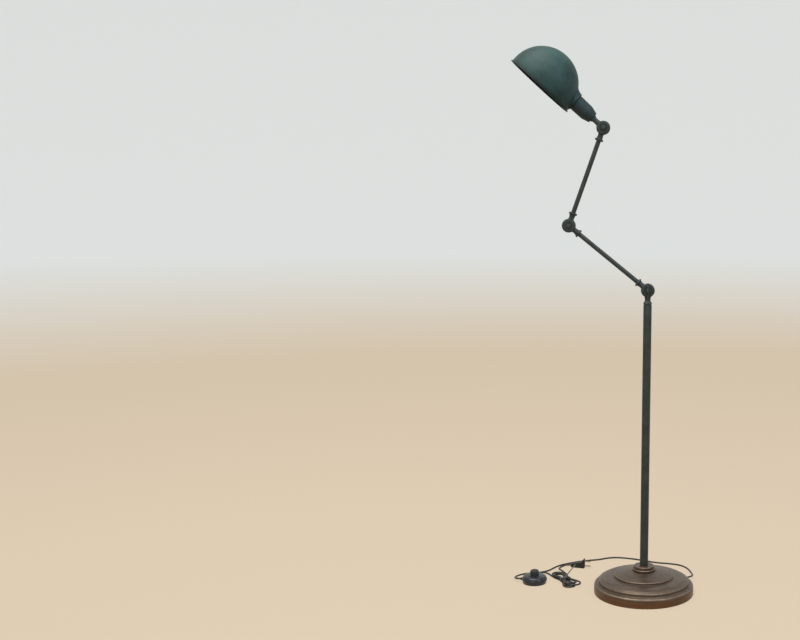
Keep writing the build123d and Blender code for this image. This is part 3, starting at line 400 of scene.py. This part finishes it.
def cordCurve(name, route):
    data = bpy.data.curves.new(name, "CURVE")
    data.dimensions = "3D"
    data.bevel_depth = lead["diameter"] / 2
    data.bevel_resolution = lead["roundness"]
    data.resolution_u = lead["smoothness"]
    data.use_fill_caps = True
    spline = data.splines.new("NURBS")
    spline.points.add(len(route) - 1)
    for point, spot in zip(spline.points, route):
        point.co = (*(value * mm for value in spot), 1.0)
    spline.order_u = 3
    spline.use_endpoint_u = True
    data.materials.append(finishes["black_cord"])
    piece = bpy.data.objects.new(name, data)
    bpy.context.scene.collection.objects.link(piece)
    return piece


leadCord = cordCurve("leadCord", leadRoute)
tailRoute = linkRoute + hankRoute() + plugRoute
tailCord = cordCurve("tailCord", tailRoute)
for piece, replaced in ((leadCord, ("cord_lead",)), (tailCord, ("cord_link", "cord_hank", "cord_plug_lead"))):
    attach(piece, "stand")
    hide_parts(*replaced)
print("cords laid:", len(leadRoute), "and", len(tailRoute), "points")


# Turned pieces are made ring by ring about an axis; ribs are cut into the rings that carry them
def turnedPiece(name, rings, middle, axis, ribs, finish, body):
    steps = ribs["count"] * ribs["steps"]
    side = axis.orthogonal().normalized()
    other = axis.cross(side)
    corners, faces = [], []
    for radius, reach, depth in rings:
        for i in range(steps):
            angle = 2 * math.pi * i / steps
            cut = radius - depth * (0.5 - 0.5 * math.cos(angle * ribs["count"])) ** 2
            corners.append(middle + axis * reach + (side * math.cos(angle) + other * math.sin(angle)) * cut)
    for row in range(len(rings) - 1):
        for i in range(steps):
            j = (i + 1) % steps
            faces.append((row * steps + i, row * steps + j, (row + 1) * steps + j, (row + 1) * steps + i))
    faces.append(tuple(reversed(range(steps))))
    faces.append(tuple((len(rings) - 1) * steps + i for i in range(steps)))
    mesh = bpy.data.meshes.new(name)
    mesh.from_pydata([tuple(c) for c in corners], [], faces)
    mesh.polygons.foreach_set("use_smooth", [True] * (len(faces) - 2) + [False, False])
    mesh.materials.append(finishes[finish])
    piece = bpy.data.objects.new(name, mesh)
    bpy.context.scene.collection.objects.link(piece)
    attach(piece, body)
    return piece


# Thumb knobs of the upper two joints: straight-knurled barrels, waisted next to the joint, with a turned end.
# Each row of the profile is a share of the length, a share of the radius and whether the knurl cuts it
knob = {
    "ribs": {"count": 28, "steps": 4}, "ribDepth": 0.45 * mm,
    "profile": ((0.0, 0.84, 0), (0.08, 0.84, 0), (0.12, 0.94, 0), (0.17, 0.99, 1), (0.22, 1.0, 1), (0.87, 1.0, 1),
                (0.93, 0.98, 1), (0.97, 0.9, 0), (1.0, 0.76, 0), (0.985, 0.5, 0), (0.975, 0.2, 0)),
}
for name, node in (("middleThumbKnob", "middle_knob"), ("topThumbKnob", "top_knob")):
    low, high = (Vector(corner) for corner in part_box(node))
    radius, length = (high.x - low.x) / 2, high.y - low.y
    foot = Vector(((low.x + high.x) / 2, high.y, (low.z + high.z) / 2))
    rings = [(radius * wide, length * far, knob["ribDepth"] * cut) for far, wide, cut in knob["profile"]]
    piece = turnedPiece(name, rings, foot, Vector((0, -1, 0)), knob["ribs"], "charcoal_paint", node)
    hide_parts(node)

# Foot button: three raised rings on its top, so that a sole doesn't slip
grip = {"ribs": {"count": 64, "steps": 1}, "root": -0.3, "valley": 0.05, "crest": 0.5, "landMm": (9.0, 6.4, 3.8),
        "landWidthMm": 1.3, "slopeMm": 0.3, "eyeMm": 0.4}
low, high = (Vector(corner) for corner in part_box("switch_button"))
rings = [(grip["landMm"][0] + grip["slopeMm"], grip["root"])]
for outer in grip["landMm"]:
    inner = outer - grip["landWidthMm"]
    rings += [(outer + grip["slopeMm"], grip["valley"]), (outer, grip["crest"]), (inner, grip["crest"]),
              (inner - grip["slopeMm"], grip["valley"])]
rings.append((grip["eyeMm"], grip["valley"]))
turnedPiece("buttonGrip", [(radius * mm, reach * mm, 0.0) for radius, reach in rings],
            Vector(((low.x + high.x) / 2, (low.y + high.y) / 2, high.z)), Vector((0, 0, 1)), grip["ribs"],
            "switch_grip", "switch_button")
print("turned pieces made")


# Camera at the photograph's place: a picture 800 by 640 whose optical axis falls at 600, 320
camera = {"place": (-0.124, -2.992, 1.0655), "pitchDeg": 6.32, "rollDeg": 0.55, "focalPx": 1150.0,
          "axisPx": 600.0, "widthPx": 800.0, "sensor": 36.0, "farthest": 50.0}


def placeCamera():
    data = bpy.data.cameras.new("photoCamera")
    data.sensor_width = camera["sensor"]
    data.lens = camera["sensor"] * camera["focalPx"] / camera["widthPx"]
    data.shift_x = (camera["widthPx"] / 2 - camera["axisPx"]) / camera["widthPx"]
    data.clip_end = camera["farthest"]
    eye = bpy.data.objects.new("photoCamera", data)
    bpy.context.scene.collection.objects.link(eye)
    tilt = Matrix.Rotation(math.radians(90 - camera["pitchDeg"]), 4, "X")
    roll = Matrix.Rotation(math.radians(camera["rollDeg"]), 4, "Z")
    eye.matrix_world = Matrix.Translation(camera["place"]) @ tilt @ roll
    bpy.context.scene.camera = eye


placeCamera()


# Stage: pale paper that sweeps up all round into a plain backdrop, seen paler than it lights the lamp
stage = {"floor": "#ab9a80", "wall": "#e0e4e2", "paleFloor": "#f8e5ca", "paleWall": "#fbfffd", "pale": 0.64,
         "middle": 0.5, "radius": 6.0, "height": 5.0, "sweep": 1.4, "steps": 24, "turns": 96, "fade": 0.6,
         "worldStrength": 0.17, "paleWorld": 0.85, "world": "#e6ecec"}


def sweepFloor():
    radius, sweep, turns = stage["radius"], stage["sweep"], stage["turns"]
    profile = [(stage["middle"], 0.0)]
    for i in range(stage["steps"] + 1):
        angle = math.pi / 2 * i / stage["steps"]
        profile.append((radius - sweep + sweep * math.sin(angle), sweep - sweep * math.cos(angle)))
    profile.append((radius, stage["height"]))
    corners = [(out * math.cos(2 * math.pi * i / turns), out * math.sin(2 * math.pi * i / turns), z)
               for out, z in profile for i in range(turns)]
    faces = [tuple(range(turns))]
    for row in range(len(profile) - 1):
        for i in range(turns):
            j = (i + 1) % turns
            faces.append((row * turns + i, (row + 1) * turns + i, (row + 1) * turns + j, row * turns + j))
    mesh = bpy.data.meshes.new("studioSweep")
    mesh.from_pydata(corners, [], faces)
    mesh.polygons.foreach_set("use_smooth", [True] * len(faces))
    material, tree, shader, place = startMaterial("matteStudioPaper", Roughness=0.9)
    height = addNode(tree, "ShaderNodeSeparateXYZ", links={0: place}).outputs["Z"]
    rise = addNode(tree, "ShaderNodeMapRange", {"From Max": stage["fade"]}, {"Value": height})
    paper = addNode(tree, "ShaderNodeMix", {6: stage["floor"], 7: stage["wall"]}, {0: rise}, data_type="RGBA")
    seen = addNode(tree, "ShaderNodeMix", {6: stage["paleFloor"], 7: stage["paleWall"]}, {0: rise}, data_type="RGBA")
    tree.links.new(paper.outputs[2], shader.inputs["Base Color"])
    light = addNode(tree, "ShaderNodeLightPath").outputs
    direct = addNode(tree, "ShaderNodeMath", links={0: light["Is Camera Ray"], 1: light["Is Glossy Ray"]},
                     operation="MAXIMUM")
    anyView = addNode(tree, "ShaderNodeMath", links={0: direct, 1: light["Is Transmission Ray"]}, operation="MAXIMUM")
    share = addNode(tree, "ShaderNodeMath", {1: stage["pale"]}, {0: anyView}, operation="MULTIPLY")
    glow = addNode(tree, "ShaderNodeEmission", {"Strength": 1.0}, {"Color": seen.outputs[2]})
    mixed = addNode(tree, "ShaderNodeMixShader", links={0: share, 1: shader, 2: glow})
    output = next(n for n in tree.nodes if n.bl_idname == "ShaderNodeOutputMaterial")
    tree.links.new(mixed.outputs[0], output.inputs["Surface"])
    mesh.materials.append(material)
    floor = bpy.data.objects.new("studioSweep", mesh)
    bpy.context.scene.collection.objects.link(floor)


# Soft light: a broad ceiling, a cool window on the right and a weak fill by the camera
panels = {
    "ceilingPanel": {"spot": (-0.8, -0.7, 3.7), "aim": (-0.1, 0, 0.6), "size": 3.0, "watts": 125.0, "tint": "#fffdf8"},
    "windowPanel": {"spot": (2.4, -1.9, 2.8), "aim": (-0.1, 0, 0.9), "size": 1.2, "watts": 46.0, "tint": "#cfdcff"},
    "frontPanel": {"spot": (-1.4, -4.0, 1.5), "aim": (0, 0, 0.7), "size": 2.4, "watts": 14.0, "tint": "#ffffff"},
}


def lightStage():
    world = bpy.data.worlds.new("softRoom")
    world.use_nodes = True
    tree = world.node_tree
    background = tree.nodes["Background"]
    background.inputs["Color"].default_value = hexColour(stage["world"])
    light = addNode(tree, "ShaderNodeLightPath").outputs
    direct = addNode(tree, "ShaderNodeMath", links={0: light["Is Camera Ray"], 1: light["Is Transmission Ray"]},
                     operation="MAXIMUM")
    anyView = addNode(tree, "ShaderNodeMath", links={0: direct, 1: light["Is Glossy Ray"]}, operation="MAXIMUM")
    strength = addNode(tree, "ShaderNodeMapRange", {"To Min": stage["worldStrength"], "To Max": stage["paleWorld"]},
                       {"Value": anyView})
    tree.links.new(strength.outputs["Result"], background.inputs["Strength"])
    bpy.context.scene.world = world
    for name, panel in panels.items():
        data = bpy.data.lights.new(name, "AREA")
        data.size = panel["size"]
        data.energy = panel["watts"]
        data.color = hexColour(panel["tint"])[:3]
        lamp = bpy.data.objects.new(name, data)
        bpy.context.scene.collection.objects.link(lamp)
        lamp.location = panel["spot"]
        lamp.rotation_mode = "QUATERNION"
        lamp.rotation_quaternion = (Vector(panel["aim"]) - Vector(panel["spot"])).to_track_quat("-Z", "Y")


sweepFloor()
lightStage()
bpy.context.scene.view_settings.view_transform = "Standard"
print("camera, stage and light placed")
